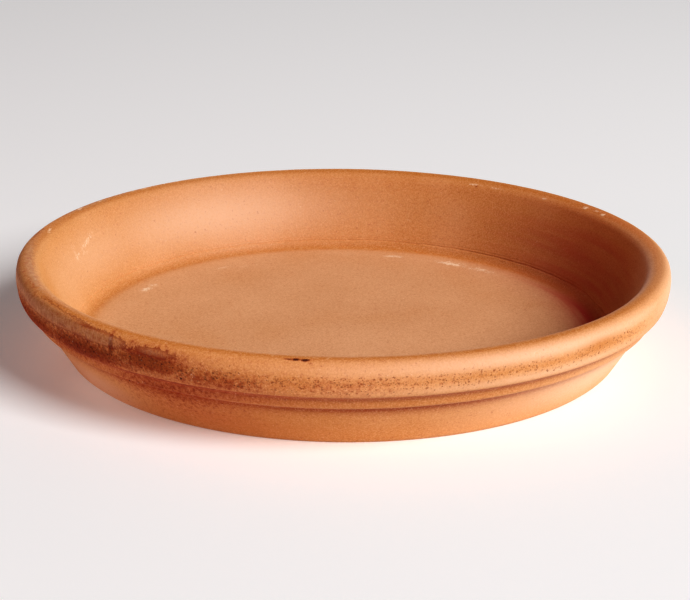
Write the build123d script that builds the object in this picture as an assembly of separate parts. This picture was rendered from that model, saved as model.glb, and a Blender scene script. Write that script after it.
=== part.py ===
"""Terracotta pot saucer: one pressed and fired clay body, round about the Z axis.

Units are millimetres. The origin is the centre of the circle the saucer rests on, and +Z is up.
The body is one section, drawn as (radius, height) and turned a full circle about Z.
"""

import os
from math import radians, tan

from build123d import *

os.makedirs("parts", exist_ok=True)

# Overall size
OUTER_DIAMETER = 305.0
RIM_HEIGHT = 43.7

# Foot and underside
FOOT_RADIUS = 130.1
FOOT_ROUNDING = 1.2
RECESS_RADIUS = 112.0
RECESS_DEPTH = 0.8
RECESS_SLOPE_WIDTH = 6.0
RECESS_ROUNDING = 8.0

# Outer wall, which flares from the foot to the bead
WALL_TOP_RADIUS = 141.6
WALL_TOP_HEIGHT = 19.0
WALL_TOP_ROUNDING = 1.0

# Bead, the narrow step between the wall and the rim band
BEAD_LOWER_RADIUS = 145.6
BEAD_LOWER_HEIGHT = 21.5
BEAD_LOWER_ROUNDING = 1.3
BEAD_UPPER_RADIUS = 146.7
BEAD_UPPER_HEIGHT = 25.5
BEAD_UPPER_ROUNDING = 0.8

# Rim band, a bulging belt whose widest circle is the outer diameter
BAND_LOWER_RADIUS = 150.1
BAND_LOWER_HEIGHT = 27.4
BAND_LOWER_ROUNDING = 3.0
BULGE_HEIGHT = 36.1
BAND_TOP_RADIUS = 151.0
BAND_TOP_ROUNDING = 4.2

# Parting line, a fine groove round the band where the two halves of the mould met
PARTING_HEIGHT = 37.0
PARTING_GROOVE_RADIUS = 0.25

# Inside: a crest, a straight flared wall, a seam groove, a rounded corner and a flat floor
CREST_ROUNDING = 8.0
INNER_WALL_SLOPE = 62.8
SEAM_HEIGHT = 9.9
SEAM_GROOVE_RADIUS = 0.45
FLOOR_HEIGHT = 6.3
FLOOR_CORNER_RADIUS = 123.7
FLOOR_CORNER_ROUNDING = 5.0

OUTER_RADIUS = OUTER_DIAMETER / 2


def inner_wall_radius(height: float) -> float:
    """Radius of the straight inner wall at a height above the foot."""
    return FLOOR_CORNER_RADIUS + (height - FLOOR_HEIGHT) / tan(radians(INNER_WALL_SLOPE))


def section_face() -> Sketch:
    """Section through one side of the saucer, from the axis to the widest circle."""
    recess_inner = (RECESS_RADIUS - RECESS_SLOPE_WIDTH, RECESS_DEPTH)
    recess_edge = (RECESS_RADIUS, 0)
    foot = (FOOT_RADIUS, 0)
    wall_top = (WALL_TOP_RADIUS, WALL_TOP_HEIGHT)
    bead_lower = (BEAD_LOWER_RADIUS, BEAD_LOWER_HEIGHT)
    bead_upper = (BEAD_UPPER_RADIUS, BEAD_UPPER_HEIGHT)
    band_lower = (BAND_LOWER_RADIUS, BAND_LOWER_HEIGHT)
    widest = (OUTER_RADIUS, BULGE_HEIGHT)
    band_top = (BAND_TOP_RADIUS, RIM_HEIGHT)
    crest_inner = (inner_wall_radius(RIM_HEIGHT), RIM_HEIGHT)
    floor_corner = (FLOOR_CORNER_RADIUS, FLOOR_HEIGHT)

    below_band = Polyline(
        (0, RECESS_DEPTH), recess_inner, recess_edge, foot, wall_top, bead_lower, bead_upper, band_lower
    )
    bulge_below = TangentArc(widest, band_lower, tangent=(0, -1))
    bulge_above = TangentArc(widest, band_top, tangent=(0, 1))
    above_band = Polyline(band_top, crest_inner, floor_corner, (0, FLOOR_HEIGHT), (0, RECESS_DEPTH))
    face = make_face(below_band.edges() + bulge_below.edges() + bulge_above.edges() + above_band.edges())

    roundings = [
        (recess_inner, RECESS_ROUNDING),
        (recess_edge, RECESS_ROUNDING),
        (foot, FOOT_ROUNDING),
        (wall_top, WALL_TOP_ROUNDING),
        (bead_lower, BEAD_LOWER_ROUNDING),
        (bead_upper, BEAD_UPPER_ROUNDING),
        (band_lower, BAND_LOWER_ROUNDING),
        (band_top, BAND_TOP_ROUNDING),
        (crest_inner, CREST_ROUNDING),
        (floor_corner, FLOOR_CORNER_ROUNDING),
    ]
    for corner, rounding in roundings:
        face = fillet(face.vertices().sort_by_distance(corner)[0], rounding)
    return face


def ring_groove(radius: float, height: float, groove_radius: float) -> Part:
    """Half-round groove round the axis, as the ring to cut away."""
    return Pos(0, 0, height) * Torus(radius, groove_radius)


def saucer() -> Part:
    """The whole body: the turned section, less its parting line and its inner seam."""
    body = revolve(Plane.XZ * section_face(), Axis.Z)
    body -= ring_groove(OUTER_RADIUS, PARTING_HEIGHT, PARTING_GROOVE_RADIUS)
    body -= ring_groove(inner_wall_radius(SEAM_HEIGHT), SEAM_HEIGHT, SEAM_GROOVE_RADIUS)
    return body


export_step(saucer(), "parts/saucer.step")
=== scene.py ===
"""Terracotta pot saucer: the shown surface, its fired clay finish, and the studio it is looked at in.

Lengths are in millimetres inside this script, because the section is drawn in them, and turn
into metres where a mesh, a light or the camera is made. The saucer is round about the Z axis.
A place on its surface is an angle about that axis and a distance along the section, which
runs from the middle of the underside, over the rim, to the middle of the floor inside.
"""

import logging
import math
from dataclasses import dataclass
from enum import Enum, IntEnum
from typing import Any, NamedTuple, Union

import bpy
import numpy as np
from mathutils import Matrix, Vector


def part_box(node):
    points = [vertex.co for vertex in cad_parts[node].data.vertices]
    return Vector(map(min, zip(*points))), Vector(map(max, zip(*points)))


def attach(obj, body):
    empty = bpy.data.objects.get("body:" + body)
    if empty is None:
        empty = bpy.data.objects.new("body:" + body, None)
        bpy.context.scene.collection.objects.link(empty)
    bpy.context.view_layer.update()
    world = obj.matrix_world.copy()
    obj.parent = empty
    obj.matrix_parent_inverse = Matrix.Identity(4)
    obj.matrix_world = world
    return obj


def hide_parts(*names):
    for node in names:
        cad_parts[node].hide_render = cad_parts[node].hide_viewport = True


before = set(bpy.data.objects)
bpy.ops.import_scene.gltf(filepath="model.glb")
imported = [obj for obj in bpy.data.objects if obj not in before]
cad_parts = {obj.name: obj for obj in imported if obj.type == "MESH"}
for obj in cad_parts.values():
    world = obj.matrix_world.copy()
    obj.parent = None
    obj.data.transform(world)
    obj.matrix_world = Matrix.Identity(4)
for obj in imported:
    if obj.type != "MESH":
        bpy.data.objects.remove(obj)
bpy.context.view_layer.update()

BODY = "root"
NODE = "saucer"
MM = 0.001
FULL_TURN = 2.0 * math.pi
SEAM_ANGLE = math.pi / 2.0

# Tints of the light from the left
WARM = (1.0, 0.50, 0.52)
TAWNY = (1.0, 0.60, 0.42)

# Large odd numbers that scramble the bits of a lattice cell, and the bits that are kept of it
CELL_PRIMES = (0x9E3779B185EBCA87, 0xC2B2AE3D27D4EB4F, 0x165667B19E3779F9)
SEED_PRIME = 0x27D4EB2F
SCRAMBLE_PRIME = 0xFF51AFD7ED558CCD
SCRAMBLE_SHIFTS = (33, 29, 32)
KEPT_BITS = 24

# Radius of the smallest hollow, and how much larger the largest is, as shares of a cell's side
LEAST_HOLLOW = 0.25
HOLLOW_GROWTH = 0.35

log = logging.getLogger("saucer")


class Seed(IntEnum):
    """Which set of random numbers each unevenness is drawn from."""

    SKIN = 3
    PITS = 5
    PORE_EDGE = 17
    PORE_CLUMPS = 19
    FOLDS = 23
    TOOL_RINGS = 29
    SEAM_WANDER = 31
    SEAM_DEPTH = 37
    PARTING_EDGE = 43
    WORN_PATCHES = 71


# Number shapes: steps, bells and noise, worked out on whole arrays


def smooth_step(low: float, high: float, values: np.ndarray) -> np.ndarray:
    """Rises from 0 at low to 1 at high, as 3 t squared less 2 t cubed; low may be above high.

    Args:
        low: where the step starts.
        high: where the step ends.
        values: the places to work it out at.

    Returns:
        The step's height at each place.
    """
    t = np.clip((values - low) / (high - low), 0.0, 1.0)
    return t * t * (3.0 - 2.0 * t)


def bell(centre: float | np.ndarray, half_width: float, values: np.ndarray) -> np.ndarray:
    """A bell of height 1: e to the minus square of the distance from the centre over half_width."""
    return np.exp(-(((values - centre) / half_width) ** 2))


def lattice_value(cells: np.ndarray, seed: int) -> np.ndarray:
    """A fixed random number from 0 to 1 for each whole-numbered cell.

    Args:
        cells: whole numbers, the last axis being x, y and z.
        seed: which set of numbers.

    Returns:
        One number for each cell, from mixing the bits of x, y, z and the seed.
    """
    mixed = np.full(cells.shape[:-1], seed * SEED_PRIME + 1, dtype=np.uint64)
    for axis, prime in enumerate(CELL_PRIMES):
        mixed ^= cells[..., axis].astype(np.int64).astype(np.uint64) * np.uint64(prime)
    for shift in SCRAMBLE_SHIFTS:
        mixed ^= mixed >> np.uint64(shift)
        mixed *= np.uint64(SCRAMBLE_PRIME)
    return (mixed >> np.uint64(64 - KEPT_BITS)).astype(np.float64) / 2.0**KEPT_BITS


def noise(points: np.ndarray, size: float, seed: int) -> np.ndarray:
    """Smooth noise from -1 to 1: random corner values of a cubic lattice, blended by smooth steps.

    Args:
        points: places in millimetres, the last axis being x, y and z.
        size: the side of a lattice cell.
        seed: which set of random values.

    Returns:
        The noise at each place.
    """
    scaled = points / size
    base = np.floor(scaled)
    part = scaled - base
    part = part * part * (3.0 - 2.0 * part)
    total = np.zeros(points.shape[:-1])
    for corner in np.ndindex(2, 2, 2):
        step = np.array(corner)
        share = np.prod(np.where(step == 1, part, 1.0 - part), axis=-1)
        total += share * lattice_value(base + step, seed)
    return 2.0 * total - 1.0


def rough_noise(points: np.ndarray, size: float, seed: int, layers: int = 3) -> np.ndarray:
    """Noise in layers, each half as coarse and half as strong as the one before.

    Args:
        points: places in millimetres, the last axis being x, y and z.
        size: the side of the first layer's cells.
        seed: the first layer's set of random values.
        layers: how many layers there are.

    Returns:
        The sum of the layers at each place.
    """
    total = np.zeros(points.shape[:-1])
    for layer in range(layers):
        total += noise(points, size / 2**layer, seed + layer) / 2**layer
    return total


def hollows(points: np.ndarray, spacing: float, share: np.ndarray, seed: int) -> np.ndarray:
    """Round hollows, at most one to a lattice cell: 1 in the middle of one and 0 outside.

    Each cell has a centre at a random place. Where the cell's random pick is under the share
    there is a hollow, as deep as 1 less the square of distance over radius. Its radius grows with
    the square of a random number, so that most are small.

    Args:
        points: places in millimetres, the last axis being x, y and z.
        spacing: the side of a lattice cell.
        share: how many of the cells hold a hollow, from 0 to 1, at each place.
        seed: which set of random values.

    Returns:
        The deepest hollow at each place.
    """
    scaled = points / spacing
    base = np.floor(scaled)
    deepest = np.zeros(points.shape[:-1])
    for corner in np.ndindex(3, 3, 3):
        cell = base + np.array(corner) - 1
        centre = cell + np.stack([lattice_value(cell, seed + axis) for axis in range(3)], axis=-1)
        radius = LEAST_HOLLOW + HOLLOW_GROWTH * lattice_value(cell, seed + 4) ** 2
        away = np.linalg.norm(scaled - centre, axis=-1)
        hollow = np.clip(1.0 - (away / radius) ** 2, 0.0, 1.0)
        deepest = np.maximum(deepest, np.where(lattice_value(cell, seed + 3) < share, hollow, 0.0))
    return deepest


# The section


class Corner(NamedTuple):
    """A corner of the section, where two straight flanks would meet, and its rounding."""

    radius: float
    height: float
    rounding: float


@dataclass(frozen=True)
class Section:
    """The saucer's section: straight flanks with rounded corners."""

    outer_radius: float
    rim_height: float
    arc_step: float = 0.04
    recess_depth: float = 0.8
    recess_edge: float = 112.0
    recess_slope: float = 6.0
    recess_rounding: float = 8.0
    foot_radius: float = 130.1
    foot_rounding: float = 1.2
    wall_top: Corner = Corner(141.6, 19.0, 1.0)
    bead_lower: Corner = Corner(145.6, 21.5, 1.3)
    bead_upper: Corner = Corner(146.7, 25.5, 0.8)
    band_lower: Corner = Corner(150.5, 27.7, 3.0)
    bulge_overhang: float = 0.74
    bulge_height: float = 34.25
    bulge_rounding: float = 19.4
    band_top_radius: float = 151.35
    band_top_rounding: float = 4.2
    rim_inner_rounding: float = 8.0
    inner_wall_slope: float = 62.8
    floor_corner_radius: float = 123.7
    floor_corner_rounding: float = 5.0
    floor_height: float = 6.3
    bead_middle: tuple[float, float] = (146.2, 23.5)
    band_edge: tuple[float, float] = (150.1, 27.9)
    waist_height: float = 33.2
    parting_height: float = 37.0
    crest_radius: float = 147.8
    crest_inner_height: float = 39.4
    seam_height: float = 9.9
    floor_inset: float = 4.0

    def inner_wall_radius(self, height: float) -> float:
        """Radius of the straight inner wall at a height."""
        rise = height - self.floor_height
        return self.floor_corner_radius + rise / math.tan(math.radians(self.inner_wall_slope))

    def corners(self) -> list[Corner]:
        """The corners in order, from the middle of the underside to the middle of the floor."""
        return [
            Corner(0.0, self.recess_depth, 0.0),
            Corner(self.recess_edge - self.recess_slope, self.recess_depth, self.recess_rounding),
            Corner(self.recess_edge, 0.0, self.recess_rounding),
            Corner(self.foot_radius, 0.0, self.foot_rounding),
            self.wall_top,
            self.bead_lower,
            self.bead_upper,
            self.band_lower,
            Corner(self.outer_radius + self.bulge_overhang, self.bulge_height, self.bulge_rounding),
            Corner(self.band_top_radius, self.rim_height, self.band_top_rounding),
            Corner(self.inner_wall_radius(self.rim_height), self.rim_height, self.rim_inner_rounding),
            Corner(self.floor_corner_radius, self.floor_height, self.floor_corner_rounding),
            Corner(0.0, self.floor_height, 0.0),
        ]

    def rounded(self, before: Corner, corner: Corner, after: Corner) -> np.ndarray:
        """The arc that rounds a corner and touches both flanks.

        It touches them at a distance from the corner of its radius over the tangent of half their
        angle, and its middle is its radius over the sine of that away.

        Args:
            before: the corner at the other end of the first flank.
            corner: the corner to round.
            after: the corner at the other end of the second flank.

        Returns:
            Points along the arc, as radius and height, or the corner itself if it is sharp.
        """
        at = np.array(corner[:2])
        if corner.rounding == 0.0:
            return at[None]
        back, on = np.array(before[:2]) - at, np.array(after[:2]) - at
        back, on = back / np.linalg.norm(back), on / np.linalg.norm(on)
        half_angle = math.acos(float(np.clip(back @ on, -1.0, 1.0))) / 2.0
        middle = (back + on) / np.linalg.norm(back + on)
        centre = at + middle * corner.rounding / math.sin(half_angle)
        start = at + back * corner.rounding / math.tan(half_angle) - centre
        end = at + on * corner.rounding / math.tan(half_angle) - centre
        first, last = (math.atan2(spoke[1], spoke[0]) for spoke in (start, end))
        turn = (last - first + math.pi) % FULL_TURN - math.pi
        count = 3 + int(abs(turn) * corner.rounding / self.arc_step)
        angles = first + turn * np.linspace(0.0, 1.0, count)
        return centre + corner.rounding * np.stack([np.cos(angles), np.sin(angles)], axis=1)

    def outline(self) -> np.ndarray:
        """Draws the whole outline, corner after corner.

        Returns:
            Closely spaced points, as radius and height, one row each.
        """
        corners = self.corners()
        padded = [corners[0], *corners, corners[-1]]
        return np.vstack([self.rounded(*padded[i : i + 3]) for i in range(len(corners))])


class Profile:
    """The section measured along its own length, so that any place on it is one number."""

    def __init__(self, section: Section) -> None:
        """Measures the outline.

        Args:
            section: the section to measure.
        """
        self.section = section
        self.points = section.outline()
        runs = np.linalg.norm(np.diff(self.points, axis=0), axis=1)
        self.marks = np.concatenate([[0.0], np.cumsum(runs)])
        self.length = float(self.marks[-1])

    def nearest(self, radius: float, height: float) -> float:
        """Finds the outline's nearest point to a place.

        Args:
            radius: the place's distance from the axis.
            height: its height.

        Returns:
            The nearest point's distance along the outline.
        """
        fine = np.arange(0.0, self.length, self.section.arc_step)
        rings, heights = self.place(fine)
        return float(fine[np.argmin(np.hypot(rings - radius, heights - height))])

    def place(self, along: np.ndarray) -> tuple[np.ndarray, np.ndarray]:
        """Radius and height at distances along the outline."""
        return tuple(np.interp(along, self.marks, self.points[:, i]) for i in range(2))

    def normal(self, along: np.ndarray, reach: float = 0.15) -> tuple[np.ndarray, np.ndarray]:
        """Outward direction at distances along the outline, from the chord a short reach each way.

        Args:
            along: distances along the outline.
            reach: half the chord's length.

        Returns:
            The radial and the upward part of the unit normal.
        """
        ahead, behind = self.place(along + reach), self.place(along - reach)
        run_out, run_up = ahead[0] - behind[0], ahead[1] - behind[1]
        length = np.maximum(np.hypot(run_out, run_up), 1e-9)
        return run_up / length, -run_out / length


@dataclass(frozen=True)
class Landmarks:
    """Distances along the outline of the features that the relief and the finish refer to."""

    foot: float
    wall_top: float
    bead: float
    band_lower: float
    waist: float
    parting: float
    crest: float
    crest_inner: float
    seam: float
    corner: float
    floor: float
    end: float

    @property
    def underside_end(self) -> float:
        """Where the underside ends and the outside begins."""
        return self.foot - 2.5

    @property
    def crest_split(self) -> float:
        """Where the outside ends and the inside begins."""
        return self.crest - 0.6

    @property
    def floor_start(self) -> float:
        """Where the inside wall's foot ends and the flat floor begins."""
        return self.floor + 3.0

    @classmethod
    def of(cls, profile: Profile) -> "Landmarks":
        """Finds every landmark on a profile."""
        s = profile.section
        return cls(
            foot=profile.nearest(s.foot_radius, 0.0),
            wall_top=profile.nearest(*s.wall_top[:2]),
            bead=profile.nearest(*s.bead_middle),
            band_lower=profile.nearest(*s.band_edge),
            waist=profile.nearest(s.outer_radius, s.waist_height),
            parting=profile.nearest(s.outer_radius, s.parting_height),
            crest=profile.nearest(s.crest_radius, s.rim_height),
            crest_inner=profile.nearest(s.inner_wall_radius(s.crest_inner_height), s.crest_inner_height),
            seam=profile.nearest(s.inner_wall_radius(s.seam_height), s.seam_height),
            corner=profile.nearest(s.floor_corner_radius, s.floor_height),
            floor=profile.nearest(s.floor_corner_radius - s.floor_inset, s.floor_height),
            end=profile.length,
        )


# Where the marks of making and of use are, and where shade and highlights are painted


class Mark(NamedTuple):
    """A soft-edged mark: its angle in degrees, its place along the section, its reach each way in
    millimetres, its strength, and how far it climbs the section for each millimetre round.
    """

    angle: float
    along: float
    half_length: float
    half_width: float
    strength: float = 1.0
    slant: float = 0.0


def unrolled(angle: np.ndarray, along: np.ndarray, radius: float) -> np.ndarray:
    """Places for noise that follows the surface: once round a circle of a radius, and along the section."""
    return np.stack([radius * np.cos(angle), radius * np.sin(angle), along], axis=-1)


@dataclass(frozen=True)
class Patina:
    """How strongly each kind of mark shows over the surface, as numbers from 0 to 1.

    Angles are in degrees, anticlockwise from the right as seen from above, so 270 is the front.
    """

    marks: Landmarks
    reference_radius: float = 152.5
    worn_front: float = 262.0
    worn_right_end: float = 372.0
    worn_left: float = 200.0
    worn_left_end: float = 150.0
    worn_elsewhere: float = 0.10
    worn_gain: float = 0.78
    worn_patchiness: float = 0.20
    patch_size: float = 22.0
    pore_edge_sway: float = 0.55
    pore_edge_size: float = 4.5
    pore_clump_size: float = 5.0
    stray_pores: float = 0.05
    fold_place: float = 4.8
    fold_reach: float = 3.6
    fold_start: tuple[float, float] = (186.0, 204.0)
    fold_end: tuple[float, float] = (252.0, 230.0)

    def worn(self, angle: np.ndarray) -> np.ndarray:
        """How torn the rim band is: fully at the front left, fading to both sides, little elsewhere.

        Args:
            angle: angles about the axis.

        Returns:
            The product of a smooth step up and one down, with broad noise added, from 0 to 1.
        """
        degrees = np.degrees(angle) % 360.0
        torn = smooth_step(self.worn_right_end, self.worn_front, degrees)
        torn = torn * smooth_step(self.worn_left_end, self.worn_left, degrees)
        circle = unrolled(angle, np.zeros_like(angle), self.reference_radius)
        patches = noise(circle, self.patch_size, Seed.WORN_PATCHES)
        worn = self.worn_elsewhere + self.worn_gain * torn + self.worn_patchiness * patches
        return np.clip(worn, 0.0, 1.0)

    def porous(self, angle: np.ndarray, along: np.ndarray) -> np.ndarray:
        """How densely pores lie: a belt under the parting line, a thinner one low on the band.

        Args:
            angle: angles about the axis.
            along: distances along the section.

        Returns:
            The density at each place, with only a few stray pores away from the two belts.
        """
        m = self.marks
        places = unrolled(angle, along, self.reference_radius)
        ragged = self.pore_edge_sway * rough_noise(places, self.pore_edge_size, Seed.PORE_EDGE)
        upper = smooth_step(m.waist - 1.0, m.waist + 0.3, along + ragged)
        upper = upper * smooth_step(m.parting + 0.15, m.parting - 0.45, along + ragged)
        crowded = bell(m.waist + 0.4, 1.1, along + ragged)
        lower = bell(m.band_lower + 4.0, 1.5, along + ragged)
        clumps = 0.5 + 0.5 * noise(places, self.pore_clump_size, Seed.PORE_CLUMPS)
        dense = upper * (0.62 + 0.25 * clumps + 0.25 * crowded) + lower * (0.30 + 0.45 * clumps)
        stray = self.stray_pores * smooth_step(m.bead, m.band_lower, along)
        stray = stray * smooth_step(m.crest, m.parting, along)
        return np.clip(self.worn(angle) * dense + stray * clumps, 0.0, 1.0)

    def folded(self, angle: np.ndarray, along: np.ndarray) -> np.ndarray:
        """Where slip has run into slanting folds: low on the band, at the left of the front.

        Args:
            angle: angles about the axis.
            along: distances along the section.

        Returns:
            A bell across the band, times a smooth step up and one down round the axis.
        """
        degrees = np.degrees(angle) % 360.0
        zone = bell(self.marks.band_lower + self.fold_place, self.fold_reach, along)
        return zone * smooth_step(*self.fold_start, degrees) * smooth_step(*self.fold_end, degrees)

    def spread(
        self, spots: list[Mark], angle: np.ndarray, along: np.ndarray, radius: np.ndarray
    ) -> np.ndarray:
        """Draws soft marks: each is a bell of the distance from its middle, over its two reaches.

        Args:
            spots: the marks to draw.
            angle: angles about the axis.
            along: distances along the section.
            radius: distances from the axis.

        Returns:
            The strongest mark at each place.
        """
        total = np.zeros_like(along)
        for spot in spots:
            turn = (angle - math.radians(spot.angle) + math.pi) % FULL_TURN - math.pi
            across = turn * radius
            reach = (across / spot.half_length) ** 2
            reach += ((along - spot.along - spot.slant * across) / spot.half_width) ** 2
            total = np.maximum(total, spot.strength * np.exp(-reach))
        return total

    def film(self) -> list[Mark]:
        """Grey-brown film of dried slip over the crest and the top of the band, at the left."""
        m = self.marks
        return [
            Mark(192.0, m.parting + 7.0, 46.0, 6.5, 0.95),
            Mark(213.0, m.parting + 3.4, 34.0, 3.4, 1.0),
            Mark(228.0, m.parting + 2.6, 16.0, 2.8, 0.80),
            Mark(240.0, m.parting + 2.4, 10.0, 2.0, 0.55),
            Mark(150.0, m.crest + 1.0, 34.0, 3.0, 0.45),
        ]

    def stain_and_shade(self) -> list[Mark]:
        """Dark red-brown stains: mottling on the band at the left, one drip, and soot in the folds; with
        painted shade, partly dirt, along the crease under the band, on the bead and on the wall below it at
        the left.
        """
        m = self.marks
        return [
            Mark(205.0, m.waist - 2.0, 60.0, 6.8, 0.85),
            Mark(224.0, m.waist - 2.0, 36.0, 7.0, 0.95),
            Mark(231.4, m.parting + 0.5, 1.5, 6.5, 1.2, -0.12),
            Mark(239.0, m.parting - 1.6, 21.0, 6.2, 0.95),
            Mark(250.0, m.waist - 1.5, 28.0, 5.8, 0.62),
            Mark(268.0, m.waist - 1.0, 30.0, 4.6, 0.34),
            Mark(226.0, m.parting + 5.0, 14.0, 0.9, 0.7),
            Mark(219.0, m.parting + 1.4, 6.0, 0.8, 0.7),
            # Painted shade, partly dirt: the crease under the band, the bead and the wall below it, at the
            # left
            Mark(232.0, m.band_lower - 2.2, 84.0, 2.2, 0.85),
            Mark(245.0, m.bead + 2.0, 40.0, 3.6, 0.52),
            Mark(240.0, m.bead - 4.0, 36.0, 15.0, 0.58),
            Mark(215.0, m.bead + 2.0, 40.0, 5.0, 0.55),
            Mark(20.0, m.waist, 30.0, 2.5, 0.35),
            Mark(118.0, m.waist + 1.0, 24.0, 2.0, 0.45),
        ]

    def scorch(self) -> list[Mark]:
        """Black smudges on the front of the crest, and a few small ones elsewhere."""
        m = self.marks
        return [
            Mark(261.9, m.crest - 2.0, 1.8, 0.40, 0.70),
            Mark(263.0, m.crest - 2.0, 1.4, 0.65, 1.1),
            Mark(264.5, m.crest - 2.3, 2.0, 0.52, 1.0),
            Mark(265.2, m.crest - 3.3, 0.8, 0.35, 0.55),
            Mark(60.0, m.crest + 6.4, 1.0, 0.5, 0.55),
            Mark(97.0, m.parting + 1.0, 2.0, 0.5, 0.5),
        ]

    def lime(self) -> list[Mark]:
        """Chalky lime: streaks round the floor's margin, a smear inside the wall, flecks on the crest.

        Returns:
            The marks; those on the floor are placed by their distance from its middle.
        """
        m = self.marks
        floor = m.end
        return [
            Mark(154.0, floor - 110.5, 8.0, 1.8, 0.80, 0.35),
            Mark(149.5, floor - 111.5, 6.0, 1.2, 0.85, 0.35),
            Mark(131.0, floor - 104.5, 14.0, 1.2, 0.60, 0.1),
            Mark(121.5, floor - 102.5, 10.0, 1.1, 0.65),
            Mark(113.0, floor - 108.5, 14.0, 1.3, 0.75),
            Mark(106.5, floor - 104.0, 12.0, 1.0, 0.60),
            Mark(83.0, floor - 111.5, 13.0, 1.1, 0.80),
            Mark(76.0, floor - 110.5, 5.0, 1.1, 0.70),
            Mark(62.0, floor - 111.2, 17.0, 1.3, 0.90, -0.10),
            Mark(53.0, floor - 112.0, 14.0, 1.9, 1.00, -0.10),
            Mark(46.5, floor - 112.5, 10.0, 1.4, 0.90, -0.12),
            Mark(39.8, floor - 114.0, 1.1, 0.8, 0.85),
            Mark(15.0, floor - 112.3, 1.6, 0.8, 0.8, 0.6),
            Mark(5.0, floor - 99.0, 1.8, 1.0, 0.7, -0.5),
            Mark(300.0, floor - 108.0, 9.0, 1.2, 0.55),
            Mark(215.0, floor - 110.0, 10.0, 1.4, 0.55, 0.1),
            Mark(160.0, m.crest_inner + 9.0, 11.0, 1.5, 0.70, 0.25),
            Mark(163.0, m.crest_inner + 12.5, 7.0, 1.2, 0.55, -0.2),
            Mark(166.0, m.crest_inner + 10.5, 2.4, 5.0, 0.60),
            Mark(169.4, m.crest + 2.6, 5.0, 0.7, 0.9, 0.15),
            Mark(154.5, m.crest - 0.2, 3.4, 1.0, 1.0),
            Mark(148.0, m.crest + 0.2, 8.0, 0.5, 0.6),
            Mark(136.0, m.crest + 0.4, 12.0, 0.6, 0.65),
            Mark(60.4, m.crest + 5.4, 5.0, 0.7, 0.75),
            Mark(55.0, m.crest + 5.4, 5.0, 0.6, 0.65),
            Mark(43.0, m.crest + 5.6, 3.6, 0.7, 0.6),
            Mark(31.2, m.crest + 2.8, 2.0, 1.2, 1.0),
            Mark(28.4, m.crest + 2.4, 3.0, 0.9, 0.9, 0.2),
            Mark(25.6, m.crest + 2.8, 1.6, 1.1, 1.0),
            Mark(359.4, m.crest + 5.0, 1.4, 0.6, 0.5),
            Mark(274.0, m.waist + 0.8, 5.0, 0.35, 0.35),
            Mark(300.5, m.parting + 3.2, 1.2, 0.4, 0.55),
            Mark(287.0, m.parting + 2.4, 1.2, 0.5, 0.5),
            Mark(95.0, m.wall_top - 9.0, 14.0, 4.0, 0.45),
            Mark(200.0, m.wall_top - 12.0, 10.0, 3.0, 0.35),
        ]

    def painted_highlight(self) -> list[Mark]:
        """Painted highlight: wide soft pale patches where the light falls brightest, inside the back and
        left walls, on the band at the right and the back, and low on the outside at the right; and painted
        bounce light low on the outside at the far left.
        """
        m = self.marks
        return [
            Mark(122.0, m.crest_inner + 15.0, 75.0, 15.0, 0.88),
            Mark(158.0, m.crest_inner + 16.0, 58.0, 15.0, 0.56),
            Mark(350.0, m.parting + 1.0, 50.0, 8.0, 0.75),
            Mark(305.0, m.parting + 2.7, 88.0, 3.2, 0.98),
            Mark(305.0, m.band_lower + 2.6, 70.0, 2.6, 0.70),
            Mark(321.0, m.foot + 16.0, 55.0, 12.0, 0.92),
            Mark(217.0, m.foot + 6.0, 26.0, 10.0, 1.00),
            Mark(30.0, m.foot + 12.0, 60.0, 8.0, 0.35),
            Mark(135.0, m.parting + 3.0, 50.0, 4.0, 0.40),
        ]

    def painted_red_shade(self) -> list[Mark]:
        """Painted shade: wide soft crimson patches inside the right wall and at its foot on the floor, and
        low at the front left on the bead and on the wall below it.
        """
        m = self.marks
        return [
            Mark(18.0, m.crest_inner + 22.0, 66.0, 24.0, 0.55),
            Mark(6.0, m.floor + 2.5, 50.0, 8.5, 0.80),
            Mark(247.0, m.foot + 12.0, 26.0, 12.0, 0.26),
            Mark(246.0, m.bead + 1.0, 48.0, 6.0, 0.26),
        ]

    def golden(self) -> list[Mark]:
        """Wide soft patches where the clay fired more golden: low at the front, and a smear at the right."""
        m = self.marks
        return [
            Mark(253.0, m.foot + 9.0, 50.0, 15.0, 0.52),
            Mark(285.0, m.foot + 9.0, 40.0, 14.0, 0.20),
            Mark(315.0, m.parting - 0.8, 12.0, 2.6, 0.70),
        ]

    def pitting(self) -> list[Mark]:
        """The few pits large enough to stand out singly."""
        m = self.marks
        return [
            Mark(246.3, m.waist + 0.8, 0.8, 0.7),
            Mark(243.6, m.band_lower + 4.2, 1.0, 0.5, 1.0, -0.5),
            Mark(226.8, m.waist + 0.6, 0.9, 0.6),
            Mark(220.0, m.waist + 1.8, 0.7, 0.6),
            Mark(278.2, m.waist - 0.2, 0.8, 0.6, 0.9),
            Mark(285.3, m.waist - 0.2, 0.9, 0.6, 0.9),
            Mark(286.6, m.waist + 0.2, 0.8, 0.7, 0.9),
            Mark(298.6, m.band_lower + 5.3, 0.6, 0.6, 0.8),
            Mark(306.4, m.parting - 0.5, 0.6, 0.6, 0.8),
            Mark(322.3, m.parting - 0.8, 0.6, 0.6, 0.8),
            Mark(62.0, m.waist + 1.0, 0.8, 0.6, 0.8),
            Mark(141.0, m.parting - 1.0, 0.8, 0.6, 0.8),
        ]

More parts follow.
